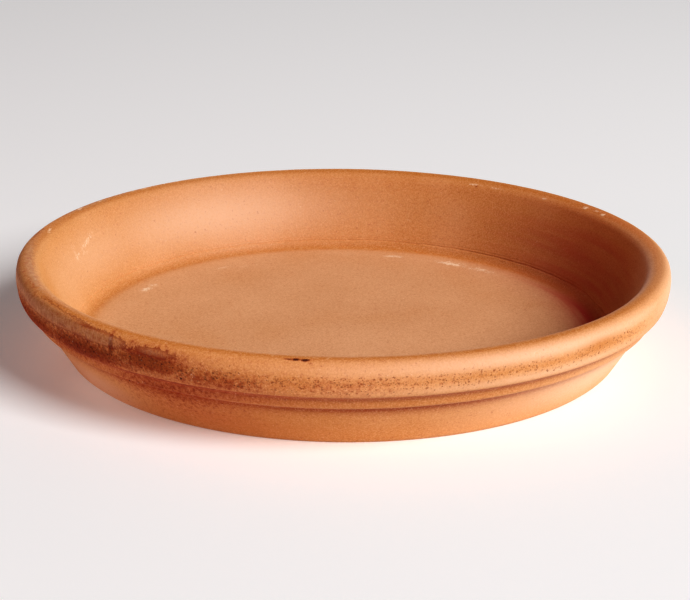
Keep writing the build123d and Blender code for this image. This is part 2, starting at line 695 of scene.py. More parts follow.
    def fields(self, angle: np.ndarray, along: np.ndarray, radius: np.ndarray) -> dict[str, np.ndarray]:
        """Every kind of mark by name, ready to be kept on the mesh.

        Args:
            angle: angles about the axis.
            along: distances along the section.
            radius: distances from the axis.

        Returns:
            The strength of each kind at each place.
        """
        kinds = {
            "film": self.film(),
            "stain_and_shade": self.stain_and_shade(),
            "scorch": self.scorch(),
            "lime": self.lime(),
            "painted_highlight": self.painted_highlight(),
            "painted_red_shade": self.painted_red_shade(),
            "golden": self.golden(),
        }
        drawn = {name: self.spread(spots, angle, along, radius) for name, spots in kinds.items()}
        return drawn | {"porous": self.porous(angle, along), "folded": self.folded(angle, along)}


# The relief: how the clay departs from the plain turned shape


@dataclass(frozen=True)
class Relief:
    """Small departures from the turned shape, in millimetres, with the turns of the warp in radians."""

    marks: Landmarks
    patina: Patina
    out_of_round: float = 0.22
    oval_turn: float = 0.7
    lobe_share: float = 0.45
    lobe_turn: float = 1.1
    warp_start: float = 60.0
    warp_full: float = 130.0
    rim_sway: float = 0.18
    sway_slope: float = 3.0
    sway_turn: float = 2.4
    skin: float = 0.035
    skin_size: float = 9.0
    tool_ring: float = 0.03
    tool_ring_size: float = 2.3
    tool_ring_stretch: float = 0.02
    seam_depth: float = 0.55
    seam_half_width: float = 0.38
    seam_wander: float = 0.22
    second_seam_gap: float = 1.25
    second_seam_share: float = 0.35
    parting_step: float = 0.10
    parting_depth: float = 0.07
    parting_sway: float = 0.3
    waist_depth: float = 0.14
    pit_spacing: float = 2.0
    pit_depth: float = 0.14
    large_pit_depth: float = 0.60
    wrinkle: float = 0.28
    wrinkle_spacing: float = 2.9
    wrinkle_slant: float = 0.8
    wrinkle_sway: float = 1.9
    crease_depth: float = 0.45
    neck_depth: float = 0.22

    def pits(self, angle: np.ndarray, along: np.ndarray, radius: np.ndarray) -> np.ndarray:
        """Depth of the pits that are large enough to be modelled, in millimetres.

        Args:
            angle: angles about the axis.
            along: distances along the section.
            radius: distances from the axis.

        Returns:
            Hollows in the porous belts, and the single large pits.
        """
        places = unrolled(angle, along, self.patina.reference_radius)
        share = np.clip(0.75 * self.patina.porous(angle, along) - 0.08, 0.0, 1.0)
        strewn = hollows(places, self.pit_spacing, share, Seed.PITS)
        single = self.patina.spread(self.patina.pitting(), angle, along, radius)
        return np.maximum(self.pit_depth * strewn, self.large_pit_depth * single)

    def wrinkles(self, angle: np.ndarray, along: np.ndarray) -> np.ndarray:
        """Slanting folds of slip low on the band, at the left of the front.

        Args:
            angle: angles about the axis.
            along: distances along the section.

        Returns:
            A sine of the way round plus the slant, its phase swayed by noise, where the folds are.
        """
        places = unrolled(angle, along, self.patina.reference_radius)
        slant = angle * self.patina.reference_radius + self.wrinkle_slant * (along - self.marks.waist)
        sway = self.wrinkle_sway * noise(places, self.patina.pore_clump_size, Seed.FOLDS)
        return self.patina.folded(angle, along) * np.sin(FULL_TURN * slant / self.wrinkle_spacing + sway)

    def seam(self, places: np.ndarray, along: np.ndarray) -> np.ndarray:
        """The groove low on the inside wall: a wandering line of uneven depth, and a fainter one above it.

        Args:
            places: unrolled places.
            along: distances along the section.

        Returns:
            Its depth at each place, which is near 1 in the middle of the line.
        """
        m = self.marks
        wander = self.seam_wander * noise(places * np.array([1.0, 1.0, 0.0]), 9.0, Seed.SEAM_WANDER)
        ragged = 0.80 + 0.35 * noise(places, 1.6, Seed.SEAM_DEPTH)
        main = bell(m.seam + wander, self.seam_half_width, along) * ragged
        second = bell(m.seam - self.second_seam_gap + 0.5 * wander, 0.3, along)
        return main + self.second_seam_share * second

    def parting(
        self, angle: np.ndarray, places: np.ndarray, along: np.ndarray
    ) -> tuple[np.ndarray, np.ndarray]:
        """The ragged parting line round the band.

        Args:
            angle: angles about the axis.
            places: unrolled places.
            along: distances along the section.

        Returns:
            The step out above the line, and the groove along it where the band is worn.
        """
        m = self.marks
        edge = self.parting_sway * noise(places, 2.2, Seed.PARTING_EDGE)
        step = smooth_step(m.parting - 0.45, m.parting + 0.15, along + edge)
        step = step * smooth_step(m.crest - 1.0, m.parting + 3.0, along)
        return step, bell(m.parting - 0.3 - edge, 0.35, along) * self.patina.worn(angle)

    def offset(self, angle: np.ndarray, along: np.ndarray, radius: np.ndarray) -> np.ndarray:
        """How far the surface stands out from the turned shape.

        Args:
            angle: angles about the axis.
            along: distances along the section.
            radius: distances from the axis.

        Returns:
            Millimetres along the outward normal: the sum of the skin, the tool rings, the seam, the
            parting line, the waist, the crease under the bead, the neck above it, the pits and the
            wrinkles.
        """
        m = self.marks
        places = unrolled(angle, along, self.patina.reference_radius)
        skin = self.skin * rough_noise(places, self.skin_size, Seed.SKIN)
        drawn_out = places * np.array([self.tool_ring_stretch, self.tool_ring_stretch, 1.0])
        rings = self.tool_ring * noise(drawn_out, self.tool_ring_size, Seed.TOOL_RINGS)
        rings = rings * smooth_step(m.crest_inner, m.crest_inner + 4.0, along)
        step, line = self.parting(angle, places, along)
        return (
            skin
            + rings
            - self.seam_depth * self.seam(places, along)
            + self.parting_step * step
            - self.parting_depth * line
            - self.waist_depth * bell(m.waist, 1.0, along)
            - self.crease_depth * bell(m.wall_top + 0.6, 1.2, along)
            - self.neck_depth * bell(m.band_lower - 1.6, 1.0, along)
            - self.pits(angle, along, radius)
            + self.wrinkle * self.wrinkles(angle, along)
        )

    def warp(
        self, angle: np.ndarray, radius: np.ndarray, height: np.ndarray
    ) -> tuple[np.ndarray, np.ndarray]:
        """Leaves the whole shape slightly out of round, and its rim slightly off level.

        Args:
            angle: angles about the axis.
            radius: distance from the axis.
            height: height above the foot.

        Returns:
            The radius and height after firing: the radius changes with the cosine of twice and
            three times the angle, and the height with the cosine of twice it, in proportion to height.
        """
        raised = height / self.patina.reference_radius
        lobes = np.cos(2.0 * angle + self.oval_turn)
        lobes = lobes + self.lobe_share * np.cos(3.0 * angle - self.lobe_turn)
        swayed = radius + self.out_of_round * lobes * smooth_step(self.warp_start, self.warp_full, radius)
        tilted = height + self.rim_sway * raised * self.sway_slope * np.cos(2.0 * angle + self.sway_turn)
        return swayed, tilted


# The mesh


class Belt(NamedTuple):
    """A stretch of the section that is meshed with one number of columns."""

    start: float
    end: float
    columns: int
    spacing: float

    def rows(self) -> np.ndarray:
        """Places of its rows along the section, evenly spread and about its spacing apart."""
        count = 1 + max(1, round((self.end - self.start) / self.spacing))
        return np.linspace(self.start, self.end, count)


class Ring(NamedTuple):
    """One ring of vertices: the index of its first, how many it has, and its place on the section."""

    first: int
    columns: int
    along: float


class Faces(NamedTuple):
    """Faces of one kind: the vertex of each corner, its share of a full turn, and its place along."""

    corners: np.ndarray
    turns: np.ndarray
    alongs: np.ndarray

    @classmethod
    def joining(cls, picks: list[tuple[Ring, np.ndarray]]) -> "Faces":
        """Faces whose corners are picked from rings, one ring and one array of columns a corner."""
        return cls(
            np.stack([ring.first + column % ring.columns for ring, column in picks], axis=1),
            np.stack([column / ring.columns for ring, column in picks], axis=1),
            np.stack([np.full(len(column), ring.along) for ring, column in picks], axis=1),
        )

    @classmethod
    def fan(cls, pole: Ring, ring: Ring, opening: bool) -> "Faces":
        """Triangles from a pole to a ring.

        Args:
            pole: the ring of one vertex at the axis.
            ring: the ring next to it.
            opening: whether the section starts at the pole, and doesn't end there.

        Returns:
            One triangle for each column of the ring.
        """
        step = np.arange(ring.columns)
        tip = (pole, np.zeros_like(step))
        picks = [tip, (ring, step + 1), (ring, step)] if opening else [(ring, step), (ring, step + 1), tip]
        return cls.joining(picks)


@dataclass(frozen=True)
class BakeSheet:
    """Lays the surface out flat on one square: two discs above, and four strips of half a turn below."""

    marks: Landmarks
    side: float = 1024.0
    gap: float = 5.0
    strip_density: float = 2.1
    floor_density: float = 2.15
    underside_density: float = 1.9
    quarter: float = 0.25

    def strips(self) -> list[tuple[float, float]]:
        """The two stretches of the section that are laid out as strips: outside and inside."""
        m = self.marks
        return [(m.underside_end, m.crest_split), (m.crest_split, m.floor_start)]

    def place(self, turns: np.ndarray, alongs: np.ndarray) -> np.ndarray:
        """Places of the corners of faces on the sheet.

        Args:
            turns: each corner's share of a full turn, one row a face.
            alongs: each corner's distance along the section.

        Returns:
            Places from 0 to 1. On a disc, a corner lies at its angle and at its distance from the
            disc's middle. On a strip, it lies at its share of the half turn, and at its distance
            along the section.
        """
        m = self.marks
        lowest, highest = alongs.min(axis=1)[:, None], alongs.max(axis=1)[:, None]
        placed = np.zeros(turns.shape + (2,))
        floor_radius = (m.end - m.floor_start) * self.floor_density
        foot_radius = m.underside_end * self.underside_density
        near, far = self.gap, self.side - self.gap
        from_middle = m.end - alongs
        discs = [
            (highest <= m.underside_end, alongs * self.underside_density, foot_radius, far - foot_radius),
            (lowest >= m.floor_start, from_middle * self.floor_density, floor_radius, near + floor_radius),
        ]
        for inside, away, radius, middle in discs:
            wide = middle + away * np.cos(FULL_TURN * turns)
            high = far - radius + away * np.sin(FULL_TURN * turns)
            placed = np.where(inside[..., None], np.stack([wide, high], -1), placed)
        bottom = self.gap
        for start, end in self.strips():
            for first in (self.quarter, 3.0 * self.quarter):
                middle = turns.mean(axis=1)[:, None]
                shift = np.where((middle < self.quarter) & (first > 0.5), 1.0, 0.0)
                share = (turns + shift - first) / 0.5
                inside = (lowest >= start) & (highest <= end)
                inside = inside & (middle + shift > first) & (middle + shift < first + 0.5)
                wide = self.gap + share * (self.side - 2.0 * self.gap)
                high = bottom + (alongs - start) * self.strip_density
                placed = np.where(inside[..., None], np.stack([wide, high], -1), placed)
                bottom += (end - start) * self.strip_density + self.gap
        return placed / self.side


@dataclass(frozen=True)
class SurfaceArrays:
    """Everything a mesh is filled from."""

    places: np.ndarray
    around: np.ndarray
    fields: dict[str, np.ndarray]
    faces: list[Faces]

    def triangle_count(self) -> int:
        """How many triangles the faces come to."""
        return sum(len(f.corners) * (f.corners.shape[1] - 2) for f in self.faces)

    def to_mesh(self, name: str, sheet: BakeSheet) -> bpy.types.Mesh:
        """Fills a mesh, with smooth faces, the attributes that the finish reads, and a flat layout.

        Args:
            name: the mesh's name.
            sheet: where each part of the surface lies in the flat layout.

        Returns:
            The mesh, in metres. Its attribute "around" holds the unrolled place in millimetres,
            and one more attribute for each kind of mark holds its strength from 0 to 1.
        """
        mesh = bpy.data.meshes.new(name)
        corners = np.concatenate([f.corners.ravel() for f in self.faces]).astype(np.int32)
        sizes = np.concatenate([np.full(len(f.corners), f.corners.shape[1]) for f in self.faces])
        starts = np.concatenate([[0], np.cumsum(sizes)[:-1]]).astype(np.int32)
        mesh.vertices.add(len(self.places))
        mesh.vertices.foreach_set("co", (self.places * MM).astype(np.float32).ravel())
        mesh.loops.add(len(corners))
        mesh.loops.foreach_set("vertex_index", corners)
        mesh.polygons.add(len(sizes))
        mesh.polygons.foreach_set("loop_start", starts)
        mesh.polygons.foreach_set("use_smooth", np.ones(len(sizes), dtype=bool))
        mesh.update(calc_edges=True)
        held = mesh.attributes.new("around", "FLOAT_VECTOR", "POINT").data
        held.foreach_set("vector", self.around.astype(np.float32).ravel())
        for field, values in self.fields.items():
            held = mesh.attributes.new(field, "FLOAT", "POINT").data
            held.foreach_set("value", values.astype(np.float32))
        flat = [sheet.place(f.turns, f.alongs).reshape(-1, 2) for f in self.faces]
        layout = mesh.uv_layers.new(name="OFBake")
        layout.uv.foreach_set("vector", np.concatenate(flat).astype(np.float32).ravel())
        mesh.validate()
        return mesh


@dataclass(frozen=True)
class SaucerSurface:
    """Builds the shown mesh: the profile carried round the axis, with the relief on it."""

    profile: Profile
    relief: Relief
    foot_flat: float = 0.01

    def belts(self) -> list[Belt]:
        """The belts from the underside to the floor: finest on the rim band, coarse on the flats."""
        m = self.relief.marks
        return [
            Belt(3.0, 40.0, 90, 6.0),
            Belt(44.0, m.foot - 6.0, 180, 5.5),
            Belt(m.underside_end, m.wall_top - 2.0, 360, 1.9),
            Belt(m.wall_top - 1.0, m.bead + 0.4, 720, 0.70),
            Belt(m.bead + 0.9, m.crest_split, 1440, 0.73),
            Belt(m.crest + 0.2, m.crest_inner - 1.0, 720, 1.1),
            Belt(m.crest_inner + 0.5, m.seam - 3.2, 360, 1.9),
            Belt(m.seam - 2.6, m.seam + 1.4, 720, 0.32),
            Belt(m.seam + 2.0, m.floor_start, 360, 1.0),
            Belt(m.floor + 5.0, m.end - 62.0, 360, 4.4),
            Belt(m.end - 58.0, m.end - 26.0, 180, 4.5),
            Belt(m.end - 22.0, m.end - 3.0, 90, 5.0),
        ]

    def surface(self, angle: np.ndarray, along: np.ndarray) -> np.ndarray:
        """The surface as a function of two parameters.

        Args:
            angle: angles about the axis.
            along: distances along the section.

        Returns:
            Places in millimetres. A place is the section's point, moved along its normal by the
            relief, warped, and turned by the angle. The foot stays flat, and nothing is below it.
        """
        radius, height = self.profile.place(along)
        offset = self.relief.offset(angle, along, radius)
        out, up = self.profile.normal(along)
        wide, high = self.relief.warp(angle, radius + out * offset, height + up * offset)
        high = np.where(height < self.foot_flat, 0.0, np.maximum(high, 0.0))
        return np.stack([wide * np.cos(angle), wide * np.sin(angle), high], axis=-1)

    @staticmethod
    def faces_between(lower: Ring, upper: Ring) -> list[Faces]:
        """Faces between two neighbouring rings, of which one may have twice the columns of the other.

        Args:
            lower: the ring nearer the start of the section.
            upper: the next ring.

        Returns:
            One set of quads for equal rings, or three sets of triangles for unequal ones.
        """
        step = np.arange(min(lower.columns, upper.columns))
        if lower.columns == upper.columns:
            picks = [[(lower, step), (lower, step + 1), (upper, step + 1), (upper, step)]]
        elif upper.columns == 2 * lower.columns:
            middle = (upper, 2 * step + 1)
            picks = [
                [(lower, step), (lower, step + 1), middle],
                [(lower, step), middle, (upper, 2 * step)],
                [(lower, step + 1), (upper, 2 * step + 2), middle],
            ]
        else:
            middle = (lower, 2 * step + 1)
            picks = [
                [(lower, 2 * step), middle, (upper, step)],
                [middle, (upper, step + 1), (upper, step)],
                [middle, (lower, 2 * step + 2), (upper, step + 1)],
            ]
        return [Faces.joining(pick) for pick in picks]

    def build(self) -> SurfaceArrays:
        """Works out every vertex and face of the closed surface.

        Returns:
            The arrays that the mesh is filled from.
        """
        grids, rings, first = [], [], 1
        for belt in self.belts():
            along = belt.rows()
            angle = SEAM_ANGLE + FULL_TURN * np.arange(belt.columns) / belt.columns
            grids.append(np.meshgrid(along, angle, indexing="ij"))
            for row_place in along:
                rings.append(Ring(first, belt.columns, row_place))
                first += belt.columns
        along = np.concatenate([[0.0], *(grid[0].ravel() for grid in grids), [self.profile.length]])
        angle = np.concatenate([[0.0], *(grid[1].ravel() for grid in grids), [0.0]])
        places = self.surface(angle, along)
        fields = self.relief.patina.fields(angle, along, self.profile.place(along)[0])
        start_pole, end_pole = Ring(0, 1, 0.0), Ring(first, 1, self.profile.length)
        faces = [Faces.fan(start_pole, rings[0], opening=True)]
        for lower, upper in zip(rings[:-1], rings[1:]):
            faces += self.faces_between(lower, upper)
        faces.append(Faces.fan(end_pole, rings[-1], opening=False))
        around = unrolled(angle, along, self.relief.patina.reference_radius)
        return SurfaceArrays(places, around, fields, faces)


# Shader maths written as Python expressions


class CellReading(Enum):
    """What is read from a pattern of random cells: the Voronoi feature and its output."""

    TO_MIDDLE = ("F1", "Distance")
    TO_WALL = ("DISTANCE_TO_EDGE", "Distance")
    OWN_COLOUR = ("F1", "Color")


class Signal:
    """A number, colour or vector that runs between nodes. Operators on numbers add Math nodes."""

    def __init__(self, bench: "Bench", socket: bpy.types.NodeSocket) -> None:
        """Wraps an output socket.

        Args:
            bench: the bench that adds nodes.
            socket: the output it stands for.
        """
        self.bench = bench
        self.socket = socket

    def __add__(self, other: "Value") -> "Signal":
        """Sum."""
        return self.bench.maths("ADD", self, other)

    def __sub__(self, other: "Value") -> "Signal":
        """Difference."""
        return self.bench.maths("SUBTRACT", self, other)

    def __rsub__(self, other: "Value") -> "Signal":
        """Difference from a plain number."""
        return self.bench.maths("SUBTRACT", other, self)

    def __mul__(self, other: "Value") -> "Signal":
        """Product."""
        return self.bench.maths("MULTIPLY", self, other)

    def __truediv__(self, other: "Value") -> "Signal":
        """Quotient."""
        return self.bench.maths("DIVIDE", self, other)

    __radd__ = __add__
    __rmul__ = __mul__


Value = Union[Signal, float, tuple[float, ...]]


class Bench:
    """Adds the nodes of one material, or of the world."""

    def __init__(self, owner: Union[bpy.types.Material, bpy.types.World]) -> None:
        """Clears a node tree.

        Args:
            owner: the material or the world to work on.
        """
        owner.use_nodes = True
        self.tree = owner.node_tree
        self.tree.nodes.clear()

    def put(self, socket: bpy.types.NodeSocket, value: Value) -> None:
        """Links a signal to an input, or sets the input to a plain value."""
        if isinstance(value, Signal):
            self.tree.links.new(value.socket, socket)
        else:
            socket.default_value = value

    def add(
        self,
        kind: str,
        settings: dict[str, Any],
        sockets: dict[Union[str, int], Value],
        output: Union[str, int, None] = 0,
    ) -> Union[Signal, None]:
        """Adds any node.

        Args:
            kind: the node's type.
            settings: its own settings, set first.
            sockets: a value or a signal for each input, by name or number.
            output: the output that is wanted, or None for a node that has none.

        Returns:
            The wanted output, if any.
        """
        node = self.tree.nodes.new(kind)
        for name, setting in settings.items():
            setattr(node, name, setting)
        for name, value in sockets.items():
            self.put(node.inputs[name], value)
        return None if output is None else Signal(self, node.outputs[output])

    def maths(self, operation: str, *values: Value) -> Signal:
        """A Math node on up to three numbers."""
        return self.add("ShaderNodeMath", {"operation": operation}, dict(enumerate(values)))

    def larger(self, first: Value, second: Value) -> Signal:
        """The larger of two numbers."""
        return self.maths("MAXIMUM", first, second)

    def vector(self, operation: str, *values: Value) -> Signal:
        """A Vector Math node on up to two vectors."""
        return self.add("ShaderNodeVectorMath", {"operation": operation}, dict(enumerate(values)))

    def stretched(self, place: Signal, around: float, along: float) -> Signal:
        """An unrolled place with its way round and its way along the section scaled."""
        return self.vector("MULTIPLY", place, (around, around, along))

    def mix(self, share: Value, first: Value, second: Value) -> Signal:
        """Mixes two colours: the share, from 0 to 1, is how much of the second shows over the first."""
        return self.add("ShaderNodeMix", {"data_type": "RGBA"}, {0: share, 6: first, 7: second}, 2)

    def rise(self, value: Signal, low: float, high: float) -> Signal:
        """Rises from 0 to 1 as a smooth step, clamped at both ends.

        Args:
            value: the number that the step follows.
            low: where the step is 0; it may be above high.
            high: where the step is 1.

        Returns:
            The step's height.
        """
        settings = {"interpolation_type": "SMOOTHSTEP", "clamp": True}
        first, last = (0.0, 1.0) if low < high else (1.0, 0.0)
        sockets = {0: value, 1: min(low, high), 2: max(low, high), 3: first, 4: last}
        return self.add("ShaderNodeMapRange", settings, sockets)

    def stretch_of(self, value: Signal, low: float, high: float, soft: float) -> Signal:
        """1 between low and high, falling smoothly to 0 over a soft edge at both ends."""
        return self.rise(value, low - soft, low + soft) * self.rise(value, high + soft, high - soft)

    def noise(self, place: Signal, size: float, detail: float = 2.0, roughness: float = 0.5) -> Signal:
        """Noise from 0 to 1 with features of a size in the units of the place."""
        sockets = {"Vector": place, "Scale": 1.0 / size, "Detail": detail, "Roughness": roughness}
        return self.add("ShaderNodeTexNoise", {"noise_dimensions": "3D"}, sockets, "Fac")

    def cells(self, place: Signal, size: float, reading: CellReading) -> Signal:
        """Random cells of a size, with a middle in each.

        Args:
            place: where the pattern is read.
            size: the side of a cell.
            reading: what is read from the pattern.

        Returns:
            The reading, with distances in shares of the side.
        """
        feature, output = reading.value
        settings = {"voronoi_dimensions": "3D", "feature": feature}
        return self.add("ShaderNodeTexVoronoi", settings, {"Vector": place, "Scale": 1.0 / size}, output)

    def clamped(self, value: Signal) -> Signal:
        """A number held between 0 and 1."""
        return self.add("ShaderNodeClamp", {}, {"Value": value})

    def finish(self, shader: Signal) -> None:
        """Ends the material with a shader."""
        self.add("ShaderNodeOutputMaterial", {}, {"Surface": shader}, None)

    def part(self, vector: Signal, axis: int) -> Signal:
        """One part of a vector or colour, as a number."""
        return self.add("ShaderNodeSeparateXYZ", {}, {0: vector}, axis)

    def specks(self, place: Signal, size: float, share: float, reach: float) -> Signal:
        """Small round dots in a share of the cells, 1 in the middle of a dot and 0 outside it.

        Args:
            place: where the pattern is read.
            size: the side of a cell.
            share: how many of the cells hold a dot, from 0 to 1.
            reach: the largest dot's radius, as a share of the cell's side.

        Returns:
            The dots' strength.
        """
        distance = self.cells(place, size, CellReading.TO_MIDDLE)
        own = self.cells(place, size, CellReading.OWN_COLOUR)
        pick, spread = self.part(own, 0), self.part(own, 1)
        radius = (0.35 + 0.65 * spread) * reach
        held = self.maths("LESS_THAN", pick, share)
        return self.rise(distance / radius, 1.0, 0.35) * held


# The finish


Colour = tuple[float, float, float, float]


class Tint(NamedTuple):
    """A colour that tints one stretch of the section, with soft edges."""

    start: float
    end: float
    soft: float
    share: float
    colour: Colour


class Ground(NamedTuple):
    """What the patterns are read from: two kinds of place in millimetres, and two shared noises."""

    solid: Signal
    around: Signal
    along: Signal
    ragged: Signal
    fine: Signal


class Film(NamedTuple):
    """The dried slip: where it covers the clay, and where it has cracked."""

    covered: Signal
    cracked: Signal


class Coats:
    """The colour so far, built up coat over coat."""

    def __init__(self, bench: Bench, first: Value) -> None:
        """Starts with one colour.

        Args:
            bench: the bench that adds nodes.
            first: the colour under every other.
        """
        self.bench = bench
        self.colour = first

    def lay(self, share: Value, colour: Value) -> None:
        """Lays a colour over the coats so far, by a share from 0 to 1."""
        self.colour = self.bench.mix(share, self.colour, colour)


@dataclass(frozen=True)
class FiredClay:
    """Unglazed terracotta: mottled and grainy, with pores, tool lines, stains and chalky lime, and with
    painted shade and painted highlights.
    """

    marks: Landmarks
    wall: Colour = (0.690, 0.330, 0.112, 1.0)
    tan: Colour = (0.700, 0.385, 0.205, 1.0)
    # Amber, deep and russet also paint shade in the corners and creases
    amber: Colour = (0.570, 0.218, 0.040, 1.0)
    pale: Colour = (0.860, 0.520, 0.300, 1.0)
    deep: Colour = (0.450, 0.105, 0.026, 1.0)
    # Pale for the painted highlights, and for the pale mottling of the film
    pale_powder_and_highlight: Colour = (0.850, 0.570, 0.380, 1.0)
    pore: Colour = (0.310, 0.078, 0.014, 1.0)
    sooty: Colour = (0.080, 0.014, 0.006, 1.0)
    # Crimson for the painted shade
    shade_crimson: Colour = (0.580, 0.085, 0.055, 1.0)
    soot: Colour = (0.060, 0.010, 0.005, 1.0)
    chalk: Colour = (0.920, 0.700, 0.500, 1.0)
    rust: Colour = (0.270, 0.038, 0.009, 1.0)
    slip: Colour = (0.430, 0.204, 0.088, 1.0)
    russet: Colour = (0.410, 0.064, 0.010, 1.0)
    roughness: float = 0.62
    film_roughness: float = 0.58
    stain_roughening: float = 0.25
    lime_roughening: float = 0.2
    diffuse_roughness: float = 0.6
    shine: float = 0.35

    def ground(self, bench: Bench) -> Ground:
        """Makes what the patterns are read from.

        Args:
            bench: the bench that adds nodes.

        Returns:
            Places in the clay, unrolled places and their distance along the section, a ragged noise
            about 0 that breaks up the edges of marks, and a fine noise from 0 to 1.
        """
        to_mm = (1.0 / MM, 1.0 / MM, 1.0 / MM)
        solid = bench.vector("MULTIPLY", bench.add("ShaderNodeTexCoord", {}, {}, "Object"), to_mm)
        around = bench.add("ShaderNodeAttribute", {"attribute_name": "around"}, {}, "Vector")
        along = bench.part(around, 2)
        ragged = bench.noise(solid, 1.7, 5.0, 0.75) - 0.5
        return Ground(solid, around, along, ragged, bench.noise(solid, 0.8, 3.0, 0.6))

    def field(self, bench: Bench, name: str) -> Signal:
        """A kind of mark's strength, as the mesh holds it."""
        return bench.add("ShaderNodeAttribute", {"attribute_name": name}, {}, "Fac")

    def tints(self) -> list[Tint]:
        """Painted shade along the section: in the floor's corner, on the floor's margin, on the crest's
        inner edge, under the bead and in the creases of the outside. The corner and the stretch under the
        bead also hold some of the clay's own amber, and the crease some dirt.
        """
        m = self.marks
        return [
            Tint(m.seam + 2.5, m.floor + 0.5, 3.0, 0.72, self.amber),
            Tint(m.floor - 2.5, m.floor + 1.5, 8.0, 0.34, self.amber),
            Tint(m.crest - 1.8, m.crest + 3.8, 1.6, 0.95, self.amber),
            Tint(m.wall_top - 3.6, m.band_lower, 4.6, 0.50, self.amber),
            Tint(m.wall_top - 1.6, m.wall_top + 2.0, 3.6, 0.88, self.deep),
            Tint(m.wall_top - 0.8, m.wall_top + 1.8, 1.6, 0.90, self.russet),
            Tint(m.bead + 1.2, m.band_lower - 0.4, 1.2, 0.78, self.deep),
        ]

    def clay(self, bench: Bench, ground: Ground) -> Coats:
        """The body: orange walls, a tan floor, wide clouds, painted shade along the section, and turning
        lines.

        Args:
            bench: the bench that adds nodes.
            ground: what the patterns are read from.

        Returns:
            The coats so far, before the grain and the marks.
        """
        m = self.marks
        floor = bench.rise(ground.along, m.corner - 2.0, m.floor_start)
        coats = Coats(bench, bench.mix(floor, self.wall, self.tan))
        clouds = bench.noise(ground.solid, 48.0, 2.0, 0.5)
        coats.lay(bench.rise(clouds, 0.45, 0.70) * 0.22, self.pale)
        coats.lay(bench.rise(clouds, 0.50, 0.28) * 0.16, self.amber)
        # Painted shade in the floor's corner, at the crest's inner edge and in the creases of the outside
        for tint in self.tints():
            stretch = bench.stretch_of(ground.along, tint.start, tint.end, tint.soft)
            coats.lay(stretch * tint.share, tint.colour)
        lines = bench.noise(bench.stretched(ground.around, 0.015, 1.0), 1.3, 3.0, 0.6)
        turned = 1.0 - floor * 0.75
        coats.lay(bench.rise(lines, 0.54, 0.74) * turned * 0.06, self.pale)
        coats.lay(bench.rise(lines, 0.42, 0.26) * turned * 0.09, self.deep)
        return coats

    def grain(self, bench: Bench, ground: Ground, coats: Coats) -> None:
        """Lays on the clay's grain: fine mottling, iron specks and pale grit.

        Args:
            bench: the bench that adds nodes.
            ground: what the patterns are read from.
            coats: the coats so far.
        """
        fine = bench.noise(ground.solid, 0.75, 3.0, 0.8)
        coats.lay(bench.rise(fine, 0.48, 0.66) * 0.46, self.pale)
        coats.lay(bench.rise(fine, 0.50, 0.32) * 0.36, self.deep)
        coats.lay(bench.specks(ground.solid, 5.0, 0.16, 0.10) * 0.55, self.rust)
        coats.lay(bench.specks(ground.solid, 3.6, 0.14, 0.10) * 0.45, self.chalk)

    def firing_and_painted_light(self, bench: Bench, ground: Ground, coats: Coats) -> None:
        """Lays on painted highlights as pale patches, painted shade as streaked crimson patches, and golden
        patches.

        Args:
            bench: the bench that adds nodes.
            ground: what the patterns are read from.
            coats: the coats so far.
        """
        # Painted highlight: pale patches where the light falls brightest
        coats.lay(bench.clamped(self.field(bench, "painted_highlight") * (0.95 + ground.ragged)), self.pale_powder_and_highlight)
        streaks = bench.noise(bench.stretched(ground.around, 0.05, 1.0), 5.0, 3.0, 0.6)
        streaks = bench.rise(streaks, 0.36, 0.64)
        # Painted shade: streaked crimson inside the right wall and low at the front left
        coats.lay(bench.clamped(self.field(bench, "painted_red_shade") * (0.70 + streaks * 0.6)), self.shade_crimson)
        coats.lay(self.field(bench, "golden") * (0.9 + ground.ragged), self.amber)

    def stain_and_shade(self, bench: Bench, ground: Ground, coats: Coats) -> Signal:
        """Lays on the red-brown stains and the painted shade that shares their marks, each darker tone where
        less of them reaches.

        Args:
            bench: the bench that adds nodes.
            ground: what the patterns are read from.
            coats: the coats so far.

        Returns:
            The strength of the stains and the painted shade.
        """
        stain_and_shade = self.field(bench, "stain_and_shade")
        coats.lay(bench.rise(stain_and_shade + ground.ragged * 1.7, 0.05, 0.80) * 0.86, self.russet)
        coats.lay(bench.rise(stain_and_shade + ground.ragged * 2.4, 0.42, 1.00) * 0.72, self.rust)
        flecked = bench.rise(stain_and_shade + (ground.fine - 0.5) * 3.0, 0.80, 1.30)
        coats.lay(flecked * 0.55, self.sooty)
        coats.lay(bench.specks(ground.solid, 2.4, stain_and_shade * 0.55 - 0.12, 0.34), self.soot)
        return stain_and_shade

    def folds(self, bench: Bench, ground: Ground, coats: Coats) -> Signal:
        """Darkens the folds of slip low on the band.

        Args:
            bench: the bench that adds nodes.
            ground: what the patterns are read from.
            coats: the coats so far.

        Returns:
            The folds' strength.
        """
        strokes = bench.noise(bench.stretched(ground.around, 1.0, 0.30), 1.25, 3.0, 0.6)
        folds = bench.rise(strokes, 0.50, 0.36) * self.field(bench, "folded")
        coats.lay(folds * 0.80, self.rust)
        return folds

